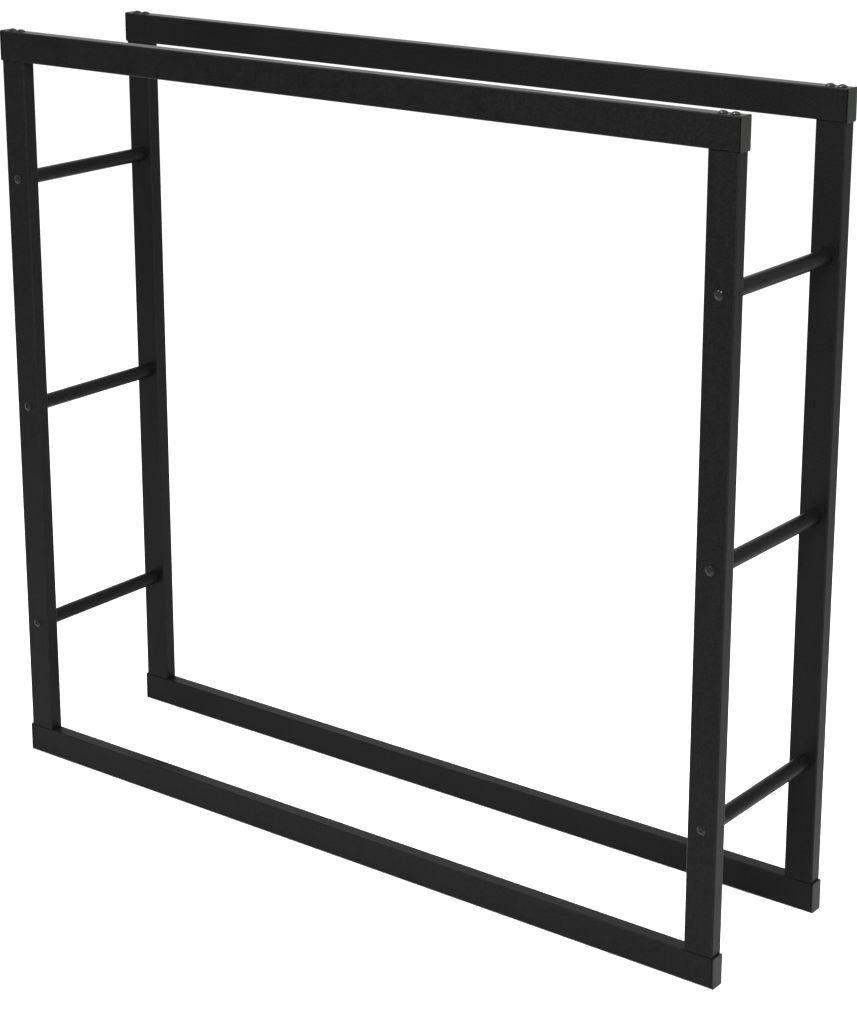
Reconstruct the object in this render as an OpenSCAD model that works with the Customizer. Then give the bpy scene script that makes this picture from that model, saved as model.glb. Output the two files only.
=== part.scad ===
// Firewood log rack: two flat frames of rectangular steel tube, held apart by six round crossbars.
// Width runs along X, depth along Y from the front frame to the back frame, and height along Z.
// The origin is on the floor, in the middle of the rack.

/* [Rack] */
// Overall width, over the end caps of the rails
rack_w = 1100; // [600:10:1800]
// Overall height, from the floor to the top of the upper end caps
rack_h = 1000; // [500:10:2000]
// Overall depth, over the end caps of the front and back rails
rack_d = 250; // [150:5:500]

/* [Frame tube] */
// Wide side of the rectangular tube, which faces the front
tube_w = 38; // [34:1:60]
// Narrow side of the rectangular tube
tube_t = 19; // [16:1:40]
// Wall thickness of the rectangular tube
tube_wall = 1.2; // [0.8:0.1:2.5]
// Outside corner radius of the rectangular tube
tube_r = 1.8; // [1:0.1:4]

/* [Crossbars] */
// Outside diameter of the round crossbars
bar_d = 19; // [14:1:30]
// Wall thickness of the crossbars
bar_wall = 1.2; // [0.8:0.1:2.5]
// Length of the threaded insert in each crossbar end
insert_len = 12; // [8:1:20]

/* [End caps] */
// Thickness of the end cap's flange outside the tube
cap_flange = 2.5; // [1.5:0.1:5]
// How far the flange stands proud of the tube's faces
cap_lip = 0.5; // [0.2:0.1:1.5]
// Radius on the flange's outer edges
cap_edge_r = 0.8; // [0.3:0.1:1.4]
// Wall thickness of the hollow plug that goes into the tube
cap_wall = 1.4; // [1:0.1:2]

/* [Bolts] */
// Thread diameter of every bolt
bolt_d = 6; // [5:1:8]
// Diameter of the domed bolt heads
head_d = 12; // [9:0.5:13]
// Height of the domed bolt heads
head_h = 3; // [2:0.1:5]
// Height of the straight rim below the dome
head_rim = 0.6; // [0.3:0.1:1]
// Width across the flats of the hexagon socket
socket_af = 4; // [3:0.5:5]
// Depth of the hexagon socket
socket_depth = 1.8; // [1:0.1:2]
// Distance between the two bolts that hold a rail to a post
bolt_pitch = 15; // [14.5:0.5:20]
// Thickness of the threaded plate in each end of a post
plate_t = 4; // [3:0.5:8]
// Length of thread that comes out past the threaded plate
bolt_end = 3; // [1:0.5:8]
// Length of a crossbar's insert that its bolt leaves empty
insert_room = 1; // [0.5:0.5:4]

/* [Fits] */
// Clearance on diameter of a hole that a bolt passes through
hole_clear = 0.4; // [0.2:0.1:1]
// Clearance on diameter between a bolt and the thread it screws into
thread_clear = 0.1; // [0.05:0.05:0.2]
// Clearance on diameter of a hole that a bolt head passes through
access_clear = 0.6; // [0.3:0.1:0.8]
// Gap all round a piece that is welded inside a tube
weld_gap = 0.05; // [0.02:0.01:0.2]
// Gap all round between the end cap's plug and the tube
plug_gap = 0.4; // [0.2:0.1:0.8]
// Gap all round between the end cap's fins and the tube
fin_gap = 0.05; // [0.02:0.01:0.2]
// Room between the end cap's plug and the nearest bolt head
plug_room = 0.5; // [0.2:0.1:1]

/* [Hidden] */

$fn = 64;

// Which side of the rack's middle a piece is on
LEFT = -1;
RIGHT = 1;
FRONT = -1;
BACK = 1;
BOTTOM = -1;
TOP = 1;

// The crossbars of one side, counted from the floor
LOWER = 0;
MIDDLE = 1;
UPPER = 2;
bars_per_side = 3;

coating = "#1d1e20";
cap_plastic = "#383835";
black_steel = "#101012";
plain_steel = "#9a9a9c";

// Cutters run this far past the faces they open
cut = 1;
// Smallest corner radius inside a tube
least_r = 0.3;

// Rails: the tube between the flanges of its two end caps
rail_len = rack_w - 2 * cap_flange;
rail_z = rack_h / 2 - cap_lip - tube_w / 2;
frame_y = rack_d / 2 - cap_lip - tube_t / 2;

// Posts: between the bottom rail and the top rail, flush with the rails' cut ends
post_len = rack_h - 2 * cap_lip - 2 * tube_w;
post_x = rail_len / 2 - tube_w / 2;

// Crossbars: between the posts of the two frames, spread evenly up the posts
bar_len = 2 * frame_y - tube_t;
bar_bore = bar_d - 2 * bar_wall;
function bar_z(row) = cap_lip + tube_w + post_len * (row + 0.5) / bars_per_side;

// Bolts: through the hollow tube, the plate or the insert, and out past it
hole_d = bolt_d + hole_clear;
thread_hole_d = bolt_d + thread_clear;
access_d = head_d + access_clear;
long_bolt = tube_w + plate_t + bolt_end;
short_bolt = tube_wall + plate_t + bolt_end;
bar_bolt = tube_t + insert_len - insert_room;
bolt_tip = bolt_d / 8;
dome_h = head_h - head_rim;
dome_r = (pow(head_d / 2, 2) + pow(dome_h, 2)) / (2 * dome_h);

// End caps: the plug stops short of the bolt heads inside the bottom rail
plug_len = tube_w / 2 - bolt_pitch / 2 - head_d / 2 - plug_room;
fin_t = plug_len / 6;

// ---- Shared shapes ----

// Flat rectangle with rounded corners, centred
module rounded_rect(a, b, r) {
    square([a - 2 * r, b], center = true);
    square([a, b - 2 * r], center = true);
    for (i = [-1, 1], j = [-1, 1])
        translate([i * (a / 2 - r), j * (b / 2 - r)])
            circle(r = r);
}

// Flat strip from x = 0 to x = len, with its two far corners rounded
module rounded_end(len, width, r) {
    translate([0, -width / 2])
        square([len - r, width]);
    translate([0, -width / 2 + r])
        square([len, width - 2 * r]);
    for (j = [-1, 1])
        translate([len - r, j * (width / 2 - r)])
            circle(r = r);
}

// Outline of the tube's hollow, made smaller all round by a gap
module tube_hollow(gap = 0) {
    inset = tube_wall + gap;
    rounded_rect(tube_w - 2 * inset, tube_t - 2 * inset, max(tube_r - inset, least_r));
}

module tube_section() {
    difference() {
        rounded_rect(tube_w, tube_t, tube_r);
        tube_hollow();
    }
}

// Plain rail along X, centred
module rail_tube() {
    rotate([0, 90, 0])
        linear_extrude(rail_len, center = true)
            tube_section();
}

// Places its children at the two bolts of one joint between a rail and a post
module at_rail_bolts(side) {
    for (k = [-1, 1])
        translate([side * post_x + k * bolt_pitch / 2, 0, 0])
            children();
}

// Bolt with a domed head above z = 0 and its thread below
module bolt(len) {
    difference() {
        union() {
            intersection() {
                cylinder(h = head_h, d = head_d);
                translate([0, 0, head_h - dome_r])
                    sphere(r = dome_r);
            }
            translate([0, 0, bolt_tip - len])
                cylinder(h = len - bolt_tip + head_rim, d = bolt_d);
            translate([0, 0, -len])
                cylinder(h = bolt_tip, d1 = bolt_d - 2 * bolt_tip, d2 = bolt_d);
        }
        translate([0, 0, head_h - socket_depth])
            cylinder(h = socket_depth + cut, d = socket_af / cos(30), $fn = 6);
    }
}

// ---- Frames ----

// Top rail: the long bolts pass down through both of its walls
module top_rail(face) {
    color(coating)
        translate([0, face * frame_y, rack_h / 2 + rail_z])
            difference() {
                rail_tube();
                for (side = [LEFT, RIGHT])
                    at_rail_bolts(side)
                        cylinder(h = tube_w + 2 * cut, d = hole_d, center = true);
            }
}

// Bottom rail: the short bolts pass up through its upper wall, and their heads go in from below
module bottom_rail(face) {
    color(coating)
        translate([0, face * frame_y, rack_h / 2 - rail_z])
            difference() {
                rail_tube();
                for (side = [LEFT, RIGHT])
                    at_rail_bolts(side) {
                        cylinder(h = tube_w / 2 + cut, d = hole_d);
                        translate([0, 0, -tube_w / 2 - cut])
                            cylinder(h = tube_w / 2 + cut, d = access_d);
                    }
            }
}

// Post: a bolt to each crossbar passes through it from front to back
module post(face, side) {
    color(coating)
        translate([side * post_x, face * frame_y, 0])
            difference() {
                translate([0, 0, cap_lip + tube_w])
                    linear_extrude(post_len)
                        tube_section();
                for (row = [0 : bars_per_side - 1])
                    translate([0, 0, bar_z(row)])
                        rotate([90, 0, 0])
                            cylinder(h = tube_t + 2 * cut, d = hole_d, center = true);
            }
}

// Threaded plate, welded flush into one end of a post
module threaded_plate(face, side, level) {
    color(plain_steel)
        translate([0, face * frame_y, rack_h / 2 + level * (post_len / 2 - plate_t / 2)])
            difference() {
                translate([side * post_x, 0, 0])
                    linear_extrude(plate_t, center = true)
                        tube_hollow(weld_gap);
                at_rail_bolts(side)
                    cylinder(h = plate_t + 2 * cut, d = thread_hole_d, center = true);
            }
}

// ---- Crossbars ----

module crossbar(side, row) {
    color(coating)
        translate([side * post_x, 0, bar_z(row)])
            rotate([90, 0, 0])
                difference() {
                    cylinder(h = bar_len, d = bar_d, center = true);
                    cylinder(h = bar_len + 2 * cut, d = bar_bore, center = true);
                }
}

// The two threaded inserts, welded flush into the ends of one crossbar
module crossbar_inserts(side, row) {
    color(plain_steel)
        for (face = [FRONT, BACK])
            translate([side * post_x, face * (bar_len - insert_len) / 2, bar_z(row)])
                rotate([90, 0, 0])
                    difference() {
                        cylinder(h = insert_len, d = bar_bore - 2 * weld_gap, center = true);
                        cylinder(h = insert_len + 2 * cut, d = thread_hole_d, center = true);
                    }
}

// ---- End caps ----

// Flange with rounded outer edges: where its outlines from the end, from above and from the front meet
module cap_flange_body() {
    flange_h = tube_w + 2 * cap_lip;
    flange_t = tube_t + 2 * cap_lip;
    intersection() {
        rotate([0, 90, 0])
            linear_extrude(cap_flange)
                rounded_rect(flange_h, flange_t, tube_r + cap_lip);
        linear_extrude(flange_h, center = true)
            rounded_end(cap_flange, flange_t, cap_edge_r);
        rotate([90, 0, 0])
            linear_extrude(flange_t, center = true)
                rounded_end(cap_flange, flange_h, cap_edge_r);
    }
}

// Hollow plug with two thin fins that grip the tube
module cap_plug_body() {
    rotate([0, -90, 0])
        difference() {
            union() {
                linear_extrude(plug_len)
                    tube_hollow(plug_gap);
                for (k = [1, 2])
                    translate([0, 0, k * plug_len / 3])
                        linear_extrude(fin_t)
                            tube_hollow(fin_gap);
            }
            linear_extrude(plug_len + cut)
                tube_hollow(plug_gap + cap_wall);
        }
}

module end_cap(face, side, level) {
    color(cap_plastic)
        translate([side * rail_len / 2, face * frame_y, rack_h / 2 + level * rail_z])
            mirror([side == LEFT ? 1 : 0, 0, 0])
                union() {
                    cap_flange_body();
                    cap_plug_body();
                }
}

// ---- Bolts ----

// Two long bolts down through the top rail into the post's threaded plate
module top_rail_bolts(face, side) {
    color(black_steel)
        translate([0, face * frame_y, rack_h - cap_lip])
            at_rail_bolts(side)
                bolt(long_bolt);
}

// Two short bolts up through the bottom rail's upper wall, with their heads inside the rail
module bottom_rail_bolts(face, side) {
    color(black_steel)
        translate([0, face * frame_y, cap_lip + tube_w - tube_wall])
            at_rail_bolts(side)
                rotate([180, 0, 0])
                    bolt(short_bolt);
}

// Three bolts through one post into the crossbars, with their heads on the rack's outside
module crossbar_bolts(face, side) {
    color(black_steel)
        for (row = [0 : bars_per_side - 1])
            translate([side * post_x, face * (frame_y + tube_t / 2), bar_z(row)])
                rotate([-face * 90, 0, 0])
                    bolt(bar_bolt);
}

// ---- The rack ----

top_rail(FRONT);  // front_top_rail
bottom_rail(FRONT);  // front_bottom_rail
top_rail(BACK);  // back_top_rail
bottom_rail(BACK);  // back_bottom_rail

post(FRONT, LEFT);  // front_left_post
post(FRONT, RIGHT);  // front_right_post
post(BACK, LEFT);  // back_left_post
post(BACK, RIGHT);  // back_right_post

crossbar(LEFT, UPPER);  // left_upper_crossbar
crossbar(LEFT, MIDDLE);  // left_middle_crossbar
crossbar(LEFT, LOWER);  // left_lower_crossbar
crossbar(RIGHT, UPPER);  // right_upper_crossbar
crossbar(RIGHT, MIDDLE);  // right_middle_crossbar
crossbar(RIGHT, LOWER);  // right_lower_crossbar

end_cap(FRONT, LEFT, TOP);  // front_top_left_end_cap
end_cap(FRONT, RIGHT, TOP);  // front_top_right_end_cap
end_cap(FRONT, LEFT, BOTTOM);  // front_bottom_left_end_cap
end_cap(FRONT, RIGHT, BOTTOM);  // front_bottom_right_end_cap
end_cap(BACK, LEFT, TOP);  // back_top_left_end_cap
end_cap(BACK, RIGHT, TOP);  // back_top_right_end_cap
end_cap(BACK, LEFT, BOTTOM);  // back_bottom_left_end_cap
end_cap(BACK, RIGHT, BOTTOM);  // back_bottom_right_end_cap

threaded_plate(FRONT, LEFT, TOP);  // front_top_left_threaded_plate
threaded_plate(FRONT, RIGHT, TOP);  // front_top_right_threaded_plate
threaded_plate(FRONT, LEFT, BOTTOM);  // front_bottom_left_threaded_plate
threaded_plate(FRONT, RIGHT, BOTTOM);  // front_bottom_right_threaded_plate
threaded_plate(BACK, LEFT, TOP);  // back_top_left_threaded_plate
threaded_plate(BACK, RIGHT, TOP);  // back_top_right_threaded_plate
threaded_plate(BACK, LEFT, BOTTOM);  // back_bottom_left_threaded_plate
threaded_plate(BACK, RIGHT, BOTTOM);  // back_bottom_right_threaded_plate

crossbar_inserts(LEFT, UPPER);  // left_upper_crossbar_inserts
crossbar_inserts(LEFT, MIDDLE);  // left_middle_crossbar_inserts
crossbar_inserts(LEFT, LOWER);  // left_lower_crossbar_inserts
crossbar_inserts(RIGHT, UPPER);  // right_upper_crossbar_inserts
crossbar_inserts(RIGHT, MIDDLE);  // right_middle_crossbar_inserts
crossbar_inserts(RIGHT, LOWER);  // right_lower_crossbar_inserts

top_rail_bolts(FRONT, LEFT);  // front_top_left_rail_bolts
top_rail_bolts(FRONT, RIGHT);  // front_top_right_rail_bolts
bottom_rail_bolts(FRONT, LEFT);  // front_bottom_left_rail_bolts
bottom_rail_bolts(FRONT, RIGHT);  // front_bottom_right_rail_bolts
top_rail_bolts(BACK, LEFT);  // back_top_left_rail_bolts
top_rail_bolts(BACK, RIGHT);  // back_top_right_rail_bolts
bottom_rail_bolts(BACK, LEFT);  // back_bottom_left_rail_bolts
bottom_rail_bolts(BACK, RIGHT);  // back_bottom_right_rail_bolts

crossbar_bolts(FRONT, LEFT);  // front_left_crossbar_bolts
crossbar_bolts(FRONT, RIGHT);  // front_right_crossbar_bolts
crossbar_bolts(BACK, LEFT);  // back_left_crossbar_bolts
crossbar_bolts(BACK, RIGHT);  // back_right_crossbar_bolts
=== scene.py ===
# Looks of the firewood log rack: coated steel tube, moulded end caps, black bolts, a pale floor and soft
# light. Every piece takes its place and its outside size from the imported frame. Lengths are in metres.
import math

import bpy
import numpy as np
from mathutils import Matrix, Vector


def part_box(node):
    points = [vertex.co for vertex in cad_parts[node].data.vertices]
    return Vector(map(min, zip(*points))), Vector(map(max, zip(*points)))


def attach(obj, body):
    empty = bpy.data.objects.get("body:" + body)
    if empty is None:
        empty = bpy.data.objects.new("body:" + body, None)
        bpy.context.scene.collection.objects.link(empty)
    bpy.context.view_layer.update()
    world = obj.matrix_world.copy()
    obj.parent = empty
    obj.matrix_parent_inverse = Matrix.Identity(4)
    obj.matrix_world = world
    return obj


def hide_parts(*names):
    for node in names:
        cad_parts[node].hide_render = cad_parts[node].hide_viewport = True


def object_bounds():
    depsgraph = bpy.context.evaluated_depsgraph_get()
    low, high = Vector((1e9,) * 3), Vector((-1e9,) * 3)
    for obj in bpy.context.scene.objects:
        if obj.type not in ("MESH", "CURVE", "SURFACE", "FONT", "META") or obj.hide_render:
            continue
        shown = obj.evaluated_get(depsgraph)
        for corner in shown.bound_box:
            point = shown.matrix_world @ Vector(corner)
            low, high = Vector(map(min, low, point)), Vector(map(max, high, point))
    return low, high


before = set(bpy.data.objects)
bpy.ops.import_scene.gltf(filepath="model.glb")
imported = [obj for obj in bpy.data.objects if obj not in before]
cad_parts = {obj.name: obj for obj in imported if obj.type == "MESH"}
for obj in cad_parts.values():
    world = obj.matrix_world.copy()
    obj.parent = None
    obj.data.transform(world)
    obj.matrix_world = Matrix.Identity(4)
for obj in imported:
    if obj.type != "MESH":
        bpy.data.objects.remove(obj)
cad_lo, cad_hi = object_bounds()
random = np.random.default_rng(7)
MM = 0.001

# Sizes of the tubes that a node's box doesn't give. The holes are given by their radius.
TUBE_WALL = 1.2 * MM
TUBE_CORNER = 1.8 * MM
BAR_WALL = 1.2 * MM
SAW_CUT_ROUND = 0.15 * MM
INSIDE_ROUND = 0.3 * MM
SMALLEST_ROUND = 0.3 * MM
BOLT_HOLE = 3.2 * MM
ACCESS_HOLE = 6.3 * MM

# A drill that goes through a whole tube is this many times as long as the tube is thick
THROUGH = 1.2

# How far along a tube from a joint shade is painted on its coat, and the mark that paints it there
PAINTED_SHADE_REACH = 0.8 * MM
PAINTED_JOINT_SHADE = -1.0

# Bolts, with the thread given by its radius
THREAD = 3.0 * MM
THREAD_PITCH = 1.0 * MM
THREAD_DEPTH = 0.55 * MM
THREAD_POINT = 0.7 * MM
POINT_LENGTH = 1.2 * MM
PLAIN_SHANK = 1.0 * MM
HEAD_RADIUS = 6.0 * MM
HEAD_HEIGHT = 3.0 * MM
HEAD_RIM = 0.6 * MM
HEAD_EDGE = 0.22 * MM
SOCKET_FLATS = 4.0 * MM
SOCKET_DEPTH = 1.8 * MM
SOCKET_CHAMFER = 0.15 * MM
DRILL_POINT = 0.5 * MM

# End caps. Behind the flange a gap SHADOW_GAP wide reaches SHADOW_DEPTH in from the tube's outside.
FLANGE = 2.5 * MM
LIP = 0.5 * MM
LIP_EASE = 0.15 * MM
CAP_EDGE = 0.8 * MM
CAP_CROWN = 0.12 * MM
CAP_WALL = 1.4 * MM
CAP_ROUND = 0.3 * MM
PLUG_GAP = 0.4 * MM
FIN_GAP = 0.05 * MM
SHADOW_GAP = 0.5 * MM
SHADOW_DEPTH = 0.9 * MM

Y, Z = Vector((0, 1, 0)), Vector((0, 0, 1))


# ---- Where things are ----

def middle(node):
    """Middle of a CAD node's box."""
    lo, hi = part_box(node)
    return (lo + hi) / 2


def extent(node):
    """Length of a CAD node's box along each axis."""
    lo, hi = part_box(node)
    return hi - lo


SIDES = ("left", "right")
FACES = ("front", "back")
LEVELS = ("bottom", "top")
ROWS = ("lower", "middle", "upper")

RAIL_LENGTH, TUBE_T, TUBE_W = extent("front_top_rail")
BAR_RADIUS = extent("left_middle_crossbar").x / 2
BOLT_PITCH = extent("front_top_left_rail_bolts").x - 2 * HEAD_RADIUS


# ---- Meshes ----

def grid_quads(rows, columns, closed):
    """Quads of a grid whose columns run round and join up. If closed, its last row also joins its first."""
    r = np.arange(rows if closed else rows - 1)[:, None]
    c = np.arange(columns)[None, :]
    below, above = (r + 1) % rows, r
    after = (c + 1) % columns
    corners = [above * columns + c, above * columns + after, below * columns + after, below * columns + c]
    return np.stack([np.broadcast_to(k, (len(r), columns)) for k in corners], -1).reshape(-1, 4)


def skin(rings, closed=False):
    """Surface through a stack of rings, each a loop of points. One face closes each end of an open stack."""
    rings = np.asarray(rings, float)
    rows, columns = rings.shape[:2]
    quads = grid_quads(rows, columns, closed)
    ends = []
    if not closed:
        ends = [np.arange(columns)[::-1], np.arange(columns) + (rows - 1) * columns]
    return rings.reshape(-1, 3), quads, ends


def volume(points, quads, ends):
    """Signed volume: the sum over triangles of corner a dot (b cross c), over six."""
    fans = [np.stack([np.full(len(e) - 2, e[0]), e[1:-1], e[2:]], 1) for e in ends]
    tris = np.concatenate([quads[:, [0, 1, 2]], quads[:, [0, 2, 3]], *fans])
    a, b, c = (points[tris[:, k]] for k in range(3))
    return float((a * np.cross(b, c)).sum()) / 6


def join(shapes):
    """Several shapes as one list of points, quads and end faces, each shape facing outwards."""
    points, quads, ends, first = [], [], [], 0
    for p, q, e in shapes:
        if volume(p, q, e) < 0:
            q, e = q[:, ::-1], [k[::-1] for k in e]
        points.append(p)
        quads.append(q + first)
        ends += [k + first for k in e]
        first += len(p)
    return np.concatenate(points), np.concatenate(quads), ends


def make_mesh(name, shapes):
    """One mesh of several shapes, each given as its points, quads and end faces."""
    points, quads, ends = join(shapes)
    mesh = bpy.data.meshes.new(name)
    sizes = np.concatenate([np.full(len(quads), 4), [len(e) for e in ends]]).astype(np.int32)
    corners = np.concatenate([quads.ravel(), *ends]).astype(np.int32)
    mesh.vertices.add(len(points))
    mesh.vertices.foreach_set("co", points.astype(np.float32).ravel())
    mesh.loops.add(len(corners))
    mesh.loops.foreach_set("vertex_index", corners)
    mesh.polygons.add(len(sizes))
    mesh.polygons.foreach_set("loop_start", np.concatenate([[0], np.cumsum(sizes)[:-1]]).astype(np.int32))
    mesh.update(calc_edges=True)
    mesh.validate()
    return mesh


def place_piece(name, mesh, node, material, wear_and_painted_light_at=None, smooth_to=35):
    """Puts a mesh in the scene in place of a CAD node. The given measure sets each point's wear and painted
    light, from 1 on a bare edge to -1 in a joint, where shade is painted. Edges that turn by more than
    smooth_to degrees stay sharp."""
    mesh.shade_smooth()
    mesh.set_sharp_from_angle(angle=math.radians(smooth_to))
    co = np.empty(len(mesh.vertices) * 3, np.float32)
    mesh.vertices.foreach_get("co", co)
    # This attribute carries wear and painted light and shade, for the materials to read
    exposed = mesh.attributes.new("exposed", "FLOAT", "POINT")
    share = np.zeros(len(mesh.vertices)) if wear_and_painted_light_at is None else wear_and_painted_light_at(co.reshape(-1, 3))
    exposed.data.foreach_set("value", share.astype(np.float32))
    mesh.materials.clear()
    mesh.materials.append(material)
    piece = bpy.data.objects.new(name, mesh)
    bpy.context.scene.collection.objects.link(piece)
    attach(piece, "root")
    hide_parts(node)


def rounded_outline(a, b, r, steps=8, strip=0.4 * MM):
    """Loop round an a by b rectangle: each corner is a quarter circle of radius r, with a point on the flat
    a short strip before it and after it, so that shading turns only at the corner."""
    turn = np.linspace(0, math.pi / 2, steps + 1)
    arc = np.stack([np.cos(turn), np.sin(turn)], 1) * r
    corner = np.concatenate([[[r, -strip]], arc, [[-strip, r]]])
    loop = []
    for k, (i, j) in enumerate(((1, 1), (-1, 1), (-1, -1), (1, -1))):
        c, s = round(math.cos(k * math.pi / 2)), round(math.sin(k * math.pi / 2))
        loop.append(corner @ np.array([[c, s], [-s, c]]) + [i * (a / 2 - r), j * (b / 2 - r)])
    return np.concatenate(loop)


def round_outline(r, steps=64):
    """Circle of radius r."""
    turn = np.arange(steps) * 2 * math.pi / steps
    return np.stack([np.cos(turn), np.sin(turn)], 1) * r


def along(outlines, stations, axis, centre):
    """Stands each flat outline at its station along an axis. The outline's first direction is the next axis
    in the order X, Y, Z, X, and its second the one after that."""
    k = "XYZ".index(axis)
    rings = np.zeros((len(outlines), len(outlines[0]), 3))
    for ring, outline, station in zip(rings, outlines, stations):
        ring[:, k] = station
        ring[:, (k + 1) % 3] = outline[:, 0]
        ring[:, (k + 2) % 3] = outline[:, 1]
    return rings + np.array(centre)


def tube_rings(outline_at, wall, length, axis, centre, marks=()):
    """Hollow tube: the outline carried along its axis outside and back inside, with its cut ends just eased.
    outline_at gives the outline moved in by a depth, and marks are distances from each end where the outside
    has a ring of points, for its shading."""
    half, ease, inner = length / 2, SAW_CUT_ROUND, INSIDE_ROUND
    outside = sorted([ease, *marks])
    depths = [ease, *[0] * 2 * len(outside), ease, wall - inner, wall, wall, wall - inner]
    stations = [-half, *[m - half for m in outside], *[half - m for m in outside[::-1]], half,
                half, half - inner, inner - half, -half]
    return skin(along([outline_at(d) for d in depths], stations, axis, centre), closed=True)


# ---- Drilling ----

def hole_cutter(centre, axis, radius, length):
    """Cylinder: a circle carried along an axis, half of its length to each side of its centre."""
    return skin(along([round_outline(radius, steps=48)] * 2, [-length / 2, length / 2], axis, centre))


def drill(mesh, holes):
    """The mesh with round holes cut through it, each given as centre, axis, radius and length."""
    body = bpy.data.objects.new("body", mesh)
    cutter = bpy.data.objects.new("cutter", make_mesh("cutter", [hole_cutter(*h) for h in holes]))
    for o in (body, cutter):
        bpy.context.scene.collection.objects.link(o)
    cut = body.modifiers.new("drill", "BOOLEAN")
    cut.object = cutter
    cut.operation = "DIFFERENCE"
    cut.solver = "EXACT"
    depsgraph = bpy.context.evaluated_depsgraph_get()
    drilled = bpy.data.meshes.new_from_object(body.evaluated_get(depsgraph))
    for o in (body, cutter):
        bpy.data.objects.remove(o)
    return drilled


# ---- Shader nodes ----

class Link:
    """A shader socket that adds Math nodes when it is used in arithmetic."""

    def __init__(self, tree, socket):
        self.tree = tree
        self.socket = socket

    def math(self, operation, *values):
        return self.tree.add("ShaderNodeMath", {"operation": operation}, dict(enumerate(values)))

    def __add__(self, other):
        return self.math("ADD", self, other)

    __radd__ = __add__

    def __mul__(self, other):
        return self.math("MULTIPLY", self, other)

    __rmul__ = __mul__

    def __sub__(self, other):
        return self.math("SUBTRACT", self, other)

    def __rsub__(self, other):
        return self.math("SUBTRACT", other, self)


# Places of the Mix node's colour sockets among its inputs and outputs
MIX_A, MIX_B, MIX_RESULT = 6, 7, 2


class Finish:
    """A material's node tree. add() takes a node's type, its settings, and the values or links of its
    sockets."""

    def __init__(self, name):
        self.material = bpy.data.materials.new(name)
        self.material.use_nodes = True
        self.nodes = self.material.node_tree.nodes
        self.links = self.material.node_tree.links
        self.nodes.clear()

    def add(self, kind, settings=None, values=None, out=0):
        node = self.nodes.new(kind)
        for name, value in (settings or {}).items():
            if name == "ramp":
                self.set_ramp(node.color_ramp, value)
            else:
                setattr(node, name, value)
        for name, value in (values or {}).items():
            socket = node.inputs[name]
            if isinstance(value, Link):
                self.links.new(value.socket, socket)
            else:
                socket.default_value = value
        return Link(self, node.outputs[out]) if len(node.outputs) else None

    @staticmethod
    def set_ramp(ramp, stops):
        while len(ramp.elements) < len(stops):
            ramp.elements.new(1.0)
        for element, (place, level) in zip(ramp.elements, stops):
            element.position = place
            element.color = (level, level, level, 1)

    def noise(self, size, detail=2.0, rough=0.5, stretch=(1, 1, 1)):
        """Soft noise whose features are about size across, stretched along the axes."""
        place = self.add("ShaderNodeTexCoord", out="Object")
        scale = tuple(1 / k for k in stretch)
        scaled = self.add("ShaderNodeMapping", values={"Vector": place, "Scale": scale})
        return self.add("ShaderNodeTexNoise",
                        values={"Vector": scaled, "Scale": 1 / size, "Detail": detail, "Roughness": rough})

    def ramp(self, value, stops):
        """A grey level between stops, each given as a value and its level."""
        return self.add("ShaderNodeValToRGB", {"ramp": stops}, {0: value})

    def mix(self, share, a, b):
        """Colour a where share is 0 or less, and colour b where it is 1."""
        return self.add("ShaderNodeMix", {"data_type": "RGBA"}, {0: share, MIX_A: a, MIX_B: b}, MIX_RESULT)

    def exposed(self):
        """Each point's wear and painted light: 1 on rounded corners and edges, 0 on the flats, -1 in the
        joints, where shade is painted.
        """
        return self.add("ShaderNodeAttribute", {"attribute_name": "exposed"}, out="Fac")

    def bump(self, height, distance, strength=1.0, normal=None):
        """Relief of a height field, on top of another bump's normal if there is one."""
        values = {"Height": height, "Distance": distance, "Strength": strength}
        if normal is not None:
            values["Normal"] = normal
        return self.add("ShaderNodeBump", values=values)

    def surface(self, **values):
        """Finishes the material with a shader whose sockets are named with underscores for spaces."""
        sockets = {name.replace("_", " "): value for name, value in values.items()}
        shader = self.add("ShaderNodeBsdfPrincipled", values=sockets)
        self.add("ShaderNodeOutputMaterial", values={"Surface": shader})
        return self.material


def grey(level, warmth=0.0):
    """Grey of a level, with its red raised and its blue lowered by the share of warmth."""
    return (level * (1 + warmth), level, level * (1 - warmth), 1)


def black_powder_coat():
    """Satin black powder coat: orange peel about 1.5 mm across, lighter where it crests, with a fine grain
    and cloudy gloss. It is smoother on the tube's corners and lighter there, from a thinner coat and a
    painted highlight, and near black in the joints and at cut ends, where shade is painted."""
    f = Finish("black_powder_coat")
    hollow, raised, rubbed_and_painted_light, shaded = grey(0.0016, -0.03), grey(0.0058), grey(0.012), grey(0.0004)
    clouds = f.noise(0.12, detail=3)
    peel = f.noise(1.5 * MM, detail=1.5)
    grain = f.noise(0.35 * MM, detail=2)
    speck = f.ramp(f.noise(2.5 * MM, detail=4, rough=0.7), [(0.66, 0), (0.74, 1)])
    edge = f.exposed() * f.ramp(f.noise(9 * MM, detail=4, rough=0.65), [(0.3, 0.35), (0.7, 1)])
    crest = f.ramp(f.noise(2.2 * MM, detail=3, rough=0.65), [(0.36, 0), (0.64, 1)])
    colour = f.mix(0.35 * clouds + 0.65 * crest, hollow, raised)
    colour = f.mix(speck * 0.3, colour, rubbed_and_painted_light)
    # Lighter on the corners: a thinner coat there, and partly a painted highlight
    colour = f.mix(edge * 0.5, colour, rubbed_and_painted_light)
    # Painted shade: near black where joints and cut ends are marked
    colour = f.mix(-1.0 * f.exposed(), colour, shaded)
    roughness = 0.30 + 0.08 * clouds + 0.06 * peel - 0.04 * edge
    normal = f.bump(grain, 0.03 * MM, 0.5, f.bump(peel, 0.16 * MM, 0.6))
    return f.surface(Base_Color=colour, Roughness=roughness, Normal=normal, Specular_IOR_Level=0.045)


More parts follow.
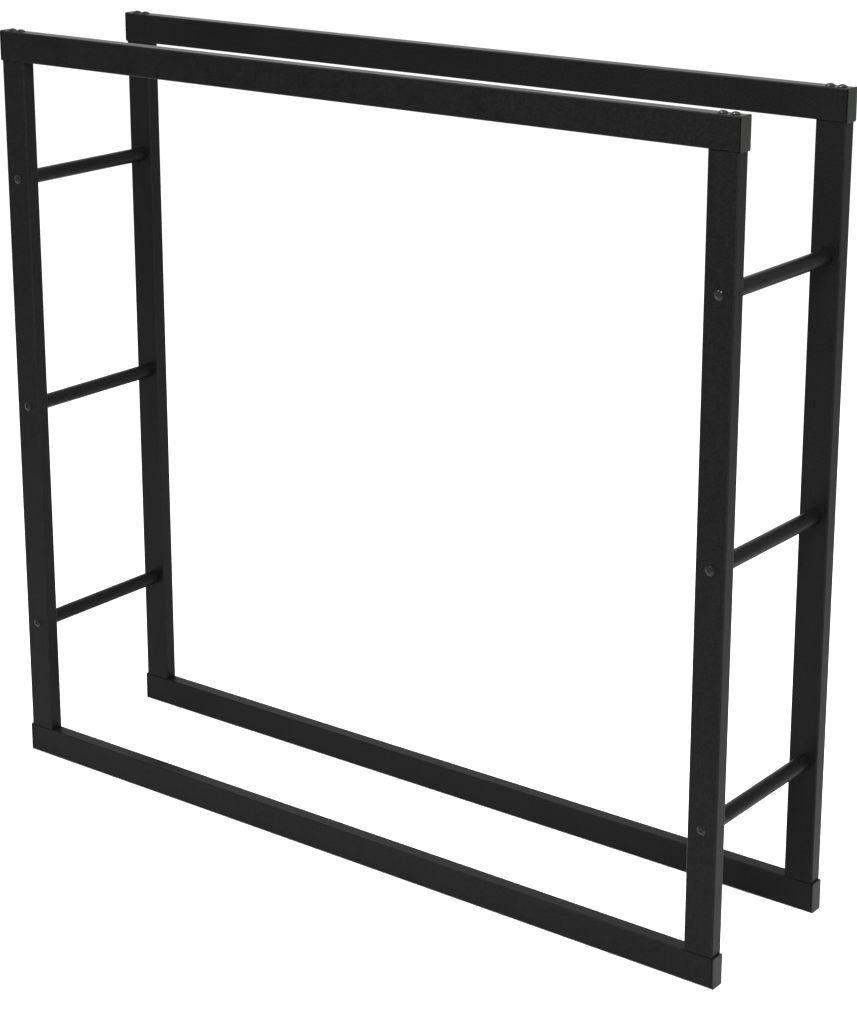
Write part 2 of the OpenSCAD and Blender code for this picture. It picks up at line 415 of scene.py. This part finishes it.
def moulded_cap_plastic():
    """Black moulded plastic: a fine spark texture, mottled and painted greyer on the outside face as if lit
    there, greyest where its edge is rubbed as well, and dark on the rim round it."""
    f = Finish("moulded_cap_plastic")
    rim_black, rubbed_and_painted_light_grey = (0.0015, 0.0016, 0.0014, 1), (0.0330, 0.0340, 0.0310, 1)
    clouds = f.noise(14 * MM, detail=3)
    texture = f.noise(0.45 * MM, detail=3, rough=0.6)
    mottle = f.ramp(f.noise(2.5 * MM, detail=3, rough=0.65), [(0.36, 0), (0.64, 1)])
    # The outside face is painted lighter as if lit, and its rounded edge more so, being rubbed too
    share = f.exposed() * (0.4 + 0.3 * clouds + 0.3 * mottle)
    colour = f.mix(share, rim_black, rubbed_and_painted_light_grey)
    roughness = 0.42 + 0.10 * clouds
    return f.surface(Base_Color=colour, Roughness=roughness, Normal=f.bump(texture, 0.05 * MM, 0.5),
                     Specular_IOR_Level=0.07)


def black_bolt_steel():
    """Black-coated steel: glossy, with fine turning marks and bare-looking edges at the socket and rim."""
    f = Finish("black_bolt_steel")
    dark, pale, bare = grey(0.003), grey(0.006), grey(0.030, 0.02)
    clouds = f.noise(4 * MM, detail=3)
    marks = f.noise(0.25 * MM, detail=2)
    edge = f.exposed() * f.ramp(f.noise(0.8 * MM, detail=3), [(0.35, 0.2), (0.7, 1)])
    colour = f.mix(clouds, dark, pale)
    colour = f.mix(edge, colour, bare)
    roughness = 0.10 + 0.06 * clouds + 0.04 * marks
    return f.surface(Base_Color=colour, Roughness=roughness, Normal=f.bump(marks, 0.01 * MM, 0.4),
                     Specular_IOR_Level=0.15)


def plain_machined_steel():
    """Bare steel of the threaded plates and inserts: grey, with saw and lathe marks and dull patches."""
    f = Finish("plain_machined_steel")
    clouds = f.noise(6 * MM, detail=4)
    marks = f.noise(0.3 * MM, detail=2, stretch=(8, 1, 8))
    dull, bright = grey(0.30), grey(0.42, 0.02)
    colour = f.mix(clouds, dull, bright)
    roughness = 0.35 + 0.2 * clouds + 0.1 * marks
    return f.surface(Base_Color=colour, Roughness=roughness, Normal=f.bump(marks, 0.02 * MM, 0.5),
                     Metallic=1.0)


def floor_paint():
    """Matt white studio floor with the faintest roller texture, lifted towards white by a weak glow."""
    f = Finish("floor_paint")
    clouds = f.noise(0.8, detail=3)
    texture = f.noise(4 * MM, detail=2)
    colour = f.mix(clouds, grey(0.90), grey(0.93))
    return f.surface(Base_Color=colour, Roughness=0.75 + 0.1 * clouds, Normal=f.bump(texture, 0.1 * MM, 0.2),
                     Specular_IOR_Level=0.1, Emission_Color=grey(1.0), Emission_Strength=0.15)


COAT = black_powder_coat()
PLASTIC = moulded_cap_plastic()
BOLT_STEEL = black_bolt_steel()
PLAIN_STEEL = plain_machined_steel()


# ---- Rails and posts ----

def tube_outline(depth):
    """The rectangular tube's outline, moved in by a depth."""
    return rounded_outline(TUBE_W - 2 * depth, TUBE_T - 2 * depth, max(TUBE_CORNER - depth, SMALLEST_ROUND))


def tube_wear_and_painted_light(centre, wide, in_painted_shade):
    """Measures the wear and painted light of a tube's points: 1 on its rounded outside corners, 0 on its
    flats, and -1 where the given test puts painted shade, in joints and at cut ends. wide is the axis along
    the tube's wide side."""
    rounding = 0.97 * TUBE_CORNER

    def measure(co):
        """A point is on a corner where it lies past the start of the rounding on both sides at once."""
        u = np.abs(co[:, wide] - centre[wide]) - (TUBE_W / 2 - rounding)
        v = np.abs(co[:, 1] - centre[1]) - (TUBE_T / 2 - rounding)
        # Points in a joint or at a cut end are marked for painted shade, which the coat draws near black
        return np.where(in_painted_shade(co), PAINTED_JOINT_SHADE, (u > 0) & (v > 0))

    return measure


def rail_bolt_places(face, side):
    """Middles of the two bolts between a rail and a post, seen from above."""
    post = middle(f"{face}_{side}_post")
    return [(post.x + k * BOLT_PITCH / 2, post.y) for k in (-1, 1)]


def make_rail(face, level):
    """Rail: the tube's outline, wide side up, carried along X, and drilled for its bolts. A bottom rail's
    bolts go through its upper wall only, and the holes in its lower wall let a key in."""
    node = f"{face}_{level}_rail"
    centre = middle(node)

    def upright_outline(depth):
        """The tube's outline with its wide side up."""
        return tube_outline(depth)[:, ::-1]

    tube = tube_rings(upright_outline, TUBE_WALL, RAIL_LENGTH, "X", centre,
                      marks=(PAINTED_SHADE_REACH, TUBE_W, TUBE_W + PAINTED_SHADE_REACH))
    half = TUBE_W / 2
    holes = []
    for side in SIDES:
        for x, y in rail_bolt_places(face, side):
            if level == "top":
                holes.append(((x, y, centre.z), "Z", BOLT_HOLE, THROUGH * TUBE_W))
            else:
                holes.append(((x, y, centre.z + half), "Z", BOLT_HOLE, half))
                holes.append(((x, y, centre.z - half), "Z", ACCESS_HOLE, half))
    mesh = drill(make_mesh(node, [tube]), holes)

    def in_painted_shade(co):
        """Where shade is painted: at the cut ends, and on the corner beside a post's end. Rings of points
        lie the shade's reach apart there, so half of it tells one from the next."""
        from_end = RAIL_LENGTH / 2 - np.abs(co[:, 0] - centre.x)
        to_post = (co[:, 2] - centre.z) * (-1 if level == "top" else 1)
        beside = (from_end < TUBE_W + 0.5 * PAINTED_SHADE_REACH) & (to_post > half - 1.3 * PAINTED_SHADE_REACH)
        return (from_end < 0.5 * PAINTED_SHADE_REACH) | beside

    place_piece(f"{face}_{level}_rail_tube", mesh, node, COAT,
                tube_wear_and_painted_light(centre, 2, in_painted_shade))


def make_post(face, side):
    """Post: the tube's outline, wide side to the front, carried along Z, and drilled for the crossbars'
    bolts."""
    node = f"{face}_{side}_post"
    centre = middle(node)
    length = extent(node).z
    tube = tube_rings(tube_outline, TUBE_WALL, length, "Z", centre, marks=(PAINTED_SHADE_REACH,))
    heights = [middle(f"{side}_{row}_crossbar").z for row in ROWS]
    mesh = drill(make_mesh(node, [tube]),
                 [((centre.x, centre.y, z), "Y", BOLT_HOLE, THROUGH * TUBE_T) for z in heights])

    def in_painted_shade(co):
        """Where shade is painted: at the cut ends."""
        return np.abs(co[:, 2] - centre.z) > length / 2 - 0.5 * PAINTED_SHADE_REACH

    place_piece(f"{face}_{side}_post_tube", mesh, node, COAT,
                tube_wear_and_painted_light(centre, 0, in_painted_shade))


# ---- Crossbars ----

def make_crossbar(side, row):
    """Crossbar: a circle carried along Y outside and back inside."""
    node = f"{side}_{row}_crossbar"
    centre = middle(node)
    tube = tube_rings(lambda depth: round_outline(BAR_RADIUS - depth), BAR_WALL, extent(node).y, "Y", centre)
    place_piece(f"{side}_{row}_crossbar_tube", make_mesh(node, [tube]), node, COAT)


# ---- End caps ----

def make_end_cap(face, side, level):
    """End cap: the tube's outline, grown or moved in by a depth at each station along X. The stations go
    from the middle of the crowned outside face, over the rounded edge and the flange, into the gap behind
    it, along the finned plug and back inside it to the floor of its hollow."""
    node = f"{face}_{level}_{side}_end_cap"
    lo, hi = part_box(node)
    out = 1 if side == "right" else -1
    seat = (hi.x if out > 0 else lo.x) - out * FLANGE
    plug = (hi.x - lo.x) - FLANGE
    near_middle = 0.46 * TUBE_T

    # The outside face rises to its crown, and its edge is a quarter circle
    quarter = np.linspace(0, math.pi / 2, 7)
    edge_depth = CAP_EDGE * (1 - np.cos(quarter)) - LIP
    edge_place = FLANGE - CAP_CROWN - CAP_EDGE + CAP_EDGE * np.sin(quarter)
    steps = [(near_middle, FLANGE), (0.3 * TUBE_T, FLANGE), (0.15 * TUBE_T, FLANGE - 0.4 * CAP_CROWN)]
    steps += list(zip(edge_depth[::-1], edge_place[::-1]))

    # The back of the flange, and the gap behind it
    steps += [(-LIP, SHADOW_GAP + LIP_EASE), (LIP_EASE - LIP, SHADOW_GAP)]
    steps += [(SHADOW_DEPTH, SHADOW_GAP), (SHADOW_DEPTH, 0)]

    # The plug with its two fins
    outside, fin = TUBE_WALL + PLUG_GAP, TUBE_WALL + FIN_GAP
    steps += [(outside, 0)]
    for k in (1, 2):
        start = k * plug / 3
        steps += [(outside, -start), (fin, -start - 0.1 * MM)]
        steps += [(fin, -start - plug / 6), (outside, -start - plug / 5)]

    # The plug's rounded end and its hollow
    inside = outside + CAP_WALL
    steps += [(outside, CAP_ROUND - plug), (outside + CAP_ROUND, -plug), (inside - CAP_ROUND, -plug)]
    steps += [(inside, CAP_ROUND - plug), (inside, -CAP_ROUND), (inside + CAP_ROUND, 0), (near_middle, 0)]

    outlines, stations = [], []
    for depth, place in steps:
        radius = max(TUBE_CORNER - depth, SMALLEST_ROUND)
        short = max(TUBE_T - 2 * depth, 2.2 * radius)
        outlines.append(rounded_outline(short, TUBE_W - 2 * depth, radius, strip=0.05 * MM))
        stations.append(seat + out * place)
    centre = middle(node)
    rings = along(outlines, stations, "X", (0, centre.y, centre.z))

    def rubbed_and_painted_light(co):
        """Painted light: 0.5 on the outside face, 0.65 on the flange's rounded edge, also rubbed, 0
        elsewhere.
        """
        far = np.abs(co[:, 0] - seat)
        past_side = np.abs(co[:, 1] - centre.y) - TUBE_T / 2
        past_top = np.abs(co[:, 2] - centre.z) - TUBE_W / 2
        edge = np.maximum(past_side, past_top) > LIP - 0.9 * CAP_EDGE
        outer = (far > FLANGE - CAP_EDGE) & (out * (co[:, 0] - seat) > 0)
        return np.where(outer & edge, 0.65, np.where(outer, 0.5, 0.0))

    place_piece(f"{face}_{level}_{side}_moulded_cap", make_mesh(node, [skin(rings)]), node, PLASTIC,
                rubbed_and_painted_light, smooth_to=50)


# ---- Bolts ----

def hexagon(turn, flats):
    """Radius of a hexagon at each angle: half its width across the flats over the cosine of the angle from
    the middle of the nearest flat."""
    sixth = math.pi / 3
    return flats / 2 / np.cos((turn + sixth / 2) % sixth - sixth / 2)


def bolt_shape(length, seat, direction, twist):
    """Bolt with its head above the seat and its thread below. The head is rings round its axis, from the
    floor of the hexagon socket, up its walls, over the dome and round the rim. The thread is rings whose
    radius rises and falls once in each pitch, shifted by one pitch in each turn."""
    columns = 48
    turn = np.arange(columns) * 2 * math.pi / columns
    hexed = hexagon(turn, SOCKET_FLATS)
    rise = HEAD_HEIGHT - HEAD_RIM
    dome = (HEAD_RADIUS ** 2 + rise ** 2) / (2 * rise)
    mouth = SOCKET_FLATS / 2 / math.cos(math.pi / 6) + SOCKET_CHAMFER

    def dome_height(r):
        """Height of a sphere's cap: HEAD_HEIGHT in the middle and HEAD_RIM at the edge of the head."""
        return HEAD_HEIGHT - dome + np.sqrt(dome ** 2 - r ** 2)

    # Rings a hair apart keep the edges of the socket and of its mouth crisp
    top, floor = dome_height(mouth), HEAD_HEIGHT - SOCKET_DEPTH
    rows = [(0.02 * hexed, floor - DRILL_POINT), (0.97 * hexed, floor), (hexed, floor + 0.06 * MM),
            (hexed, top - 0.25 * MM), (np.maximum(hexed, mouth - 0.08 * MM), top - 0.12 * MM),
            (mouth, top - 0.02 * MM), (mouth + 0.1 * MM, dome_height(mouth + 0.1 * MM))]
    for r in np.linspace(mouth + 0.3 * MM, HEAD_RADIUS - 0.35 * MM, 9):
        rows.append((r, dome_height(r)))
    for a in np.linspace(0.35, 1, 4) * math.pi / 2:
        rows.append((HEAD_RADIUS - HEAD_EDGE + HEAD_EDGE * math.sin(a),
                     HEAD_RIM - HEAD_EDGE * 0.2 + HEAD_EDGE * math.cos(a)))
    rows += [(HEAD_RADIUS, 0.3 * MM), (HEAD_RADIUS - 0.4 * MM, 0)]
    rows += [(THREAD + 0.3 * MM, 0), (THREAD, -0.3 * MM)]
    rings_per_pitch = 6
    threaded = length - PLAIN_SHANK
    count = int(threaded / THREAD_PITCH * rings_per_pitch)
    for z in -PLAIN_SHANK - np.arange(count + 1) * threaded / count:
        wave = np.abs(2 * ((z / THREAD_PITCH + turn / (2 * math.pi)) % 1) - 1)
        taper = np.clip((z + length) / POINT_LENGTH, 0, 1)
        start = np.clip((-PLAIN_SHANK - z) / THREAD_PITCH, 0, 1)
        rows.append((THREAD - THREAD_DEPTH * wave * start - THREAD_POINT * (1 - taper), z))
    rings = np.zeros((len(rows), columns, 3))
    for ring, (radius, z) in zip(rings, rows):
        ring[:, 0] = radius * np.cos(turn + twist)
        ring[:, 1] = radius * np.sin(turn + twist)
        ring[:, 2] = z
    basis = np.array(direction.to_track_quat("Z", "Y").to_matrix())
    return skin(rings @ basis.T + np.array(seat))


def make_bolts(node, seats, direction, length):
    """All the bolts of one joint or one post, as one piece, each socket turned at random."""
    shapes = [bolt_shape(length, seat, direction, random.uniform(0, 2 * math.pi)) for seat in seats]
    heads = np.array(seats)
    away = np.array(direction)

    def worn(co):
        """0.8 round the socket's mouth, 0.35 on the rim of the head and 0 elsewhere."""
        offset = co[:, None, :] - heads[None]
        height = offset @ away
        radius = np.linalg.norm(offset - height[..., None] * away, axis=2)
        nearest = radius.argmin(1)
        pick = np.arange(len(co))
        r, h = radius[pick, nearest], height[pick, nearest]
        mouth = (r < 2.6 * MM) & (h > HEAD_HEIGHT - 0.7 * MM)
        rim = (r > HEAD_RADIUS - 0.3 * MM) & (h > 0)
        return np.where(mouth, 0.8, np.where(rim, 0.35, 0.0))

    place_piece(f"{node}_threaded", make_mesh(node, shapes), node, BOLT_STEEL, worn,
                smooth_to=40)


def make_rail_bolts(face, side, level):
    """The two bolts between a rail and a post: down from the top rail's upper face, or up from inside the
    bottom rail, where their heads bear on its upper wall."""
    node = f"{face}_{level}_{side}_rail_bolts"
    lo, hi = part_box(node)
    if level == "top":
        seat_z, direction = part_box(f"{face}_top_rail")[1].z, Z
        length = seat_z - lo.z
    else:
        seat_z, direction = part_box(f"{face}_bottom_rail")[1].z - TUBE_WALL, -Z
        length = hi.z - seat_z
    make_bolts(node, [(x, y, seat_z) for x, y in rail_bolt_places(face, side)], direction, length)


def make_crossbar_bolts(face, side):
    """The three bolts that go through a post into the ends of its crossbars."""
    node = f"{face}_{side}_crossbar_bolts"
    post_lo, post_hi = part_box(f"{face}_{side}_post")
    lo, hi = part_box(node)
    if face == "front":
        seat_y, direction, length = post_lo.y, -Y, hi.y - post_lo.y
    else:
        seat_y, direction, length = post_hi.y, Y, post_hi.y - lo.y
    x = middle(f"{face}_{side}_post").x
    heights = [middle(f"{side}_{row}_crossbar").z for row in ROWS]
    make_bolts(node, [(x, seat_y, z) for z in heights], direction, length)


# ---- The rack ----

for face in FACES:
    for level in LEVELS:
        make_rail(face, level)
    for side in SIDES:
        make_post(face, side)
        make_crossbar_bolts(face, side)
        for level in LEVELS:
            make_end_cap(face, side, level)
            make_rail_bolts(face, side, level)
for side in SIDES:
    for row in ROWS:
        make_crossbar(side, row)

# The threaded plates and inserts keep their CAD shapes
for name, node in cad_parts.items():
    if name.endswith(("threaded_plate", "inserts")):
        node.data.materials.clear()
        node.data.materials.append(PLAIN_STEEL)


# ---- Floor ----

FLOOR_REACH = 40.0
FLOOR_THICKNESS = 20 * MM
FLOOR_CLEARANCE = 0.2 * MM


def make_floor():
    """Flat square slab, just under the rack's lowest point: a square carried along Z."""
    outline = np.array([[1, 1], [-1, 1], [-1, -1], [1, -1]]) * FLOOR_REACH
    rings = along([outline, outline], [-FLOOR_THICKNESS, -FLOOR_CLEARANCE], "Z", (0, 0, cad_lo.z))
    mesh = make_mesh("floor", [skin(rings)])
    mesh.materials.append(floor_paint())
    floor = bpy.data.objects.new("floor", mesh)
    bpy.context.scene.collection.objects.link(floor)


make_floor()


# ---- Light ----

def soft_light(name, place, aim, width, height, power):
    """Rectangular soft box at a place, aimed at a point, with its power in watts."""
    data = bpy.data.lights.new(name, "AREA")
    data.shape = "RECTANGLE"
    data.size, data.size_y = width, height
    data.energy = power
    light = bpy.data.objects.new(name, data)
    light.location = place
    light.rotation_mode = "QUATERNION"
    light.rotation_quaternion = (Vector(aim) - Vector(place)).to_track_quat("-Z", "Y")
    bpy.context.scene.collection.objects.link(light)


soft_light("overhead_box", place=(0.3, 0.6, 3.4), aim=(0, 0, 0.4), width=2.6, height=1.8, power=22)
soft_light("back_box", place=(-2.3, 3.2, 2.2), aim=(0, 0, 0.9), width=2.6, height=1.6, power=9)
soft_light("right_box", place=(3.6, 0.9, 1.9), aim=(0, 0, 0.6), width=1.4, height=2.2, power=7)
soft_light("key_box", place=(1.1, -1.1, 2.2), aim=(0.5, 0, 0.8), width=0.8, height=0.8, power=85)
soft_light("front_lamp", place=(-1.0, -1.6, 2.9), aim=(0, 0, 0.6), width=0.3, height=0.3, power=32)
soft_light("top_lamp", place=(-0.3, 0.2, 3.2), aim=(0, 0, 1), width=0.4, height=0.4, power=25)

world = bpy.data.worlds.new("studio")
world.use_nodes = True
background = world.node_tree.nodes["Background"].inputs
background["Color"].default_value = (1, 1, 1, 1)
background["Strength"].default_value = 1.0
bpy.context.scene.world = world
bpy.context.scene.view_settings.view_transform = "Standard"


# ---- Camera ----

def make_camera(place, turned_left, tilted_down, lens, shift_y):
    """Camera at a place, turned left from +Y and tilted down, both in degrees, with its lens in millimetres
    and its shift as a share of the picture's longer side."""
    data = bpy.data.cameras.new("camera")
    data.lens = lens
    data.shift_y = shift_y
    camera = bpy.data.objects.new("camera", data)
    left, down = math.radians(turned_left), math.radians(tilted_down)
    look = Vector((-math.sin(left) * math.cos(down), math.cos(left) * math.cos(down), -math.sin(down)))
    camera.location = place
    camera.rotation_mode = "QUATERNION"
    camera.rotation_quaternion = look.to_track_quat("-Z", "Y")
    bpy.context.scene.collection.objects.link(camera)
    bpy.context.scene.camera = camera


make_camera(place=(1.8305, -2.3311, 1.4227), turned_left=37.39, tilted_down=15.54,
            lens=87.38, shift_y=-0.129)
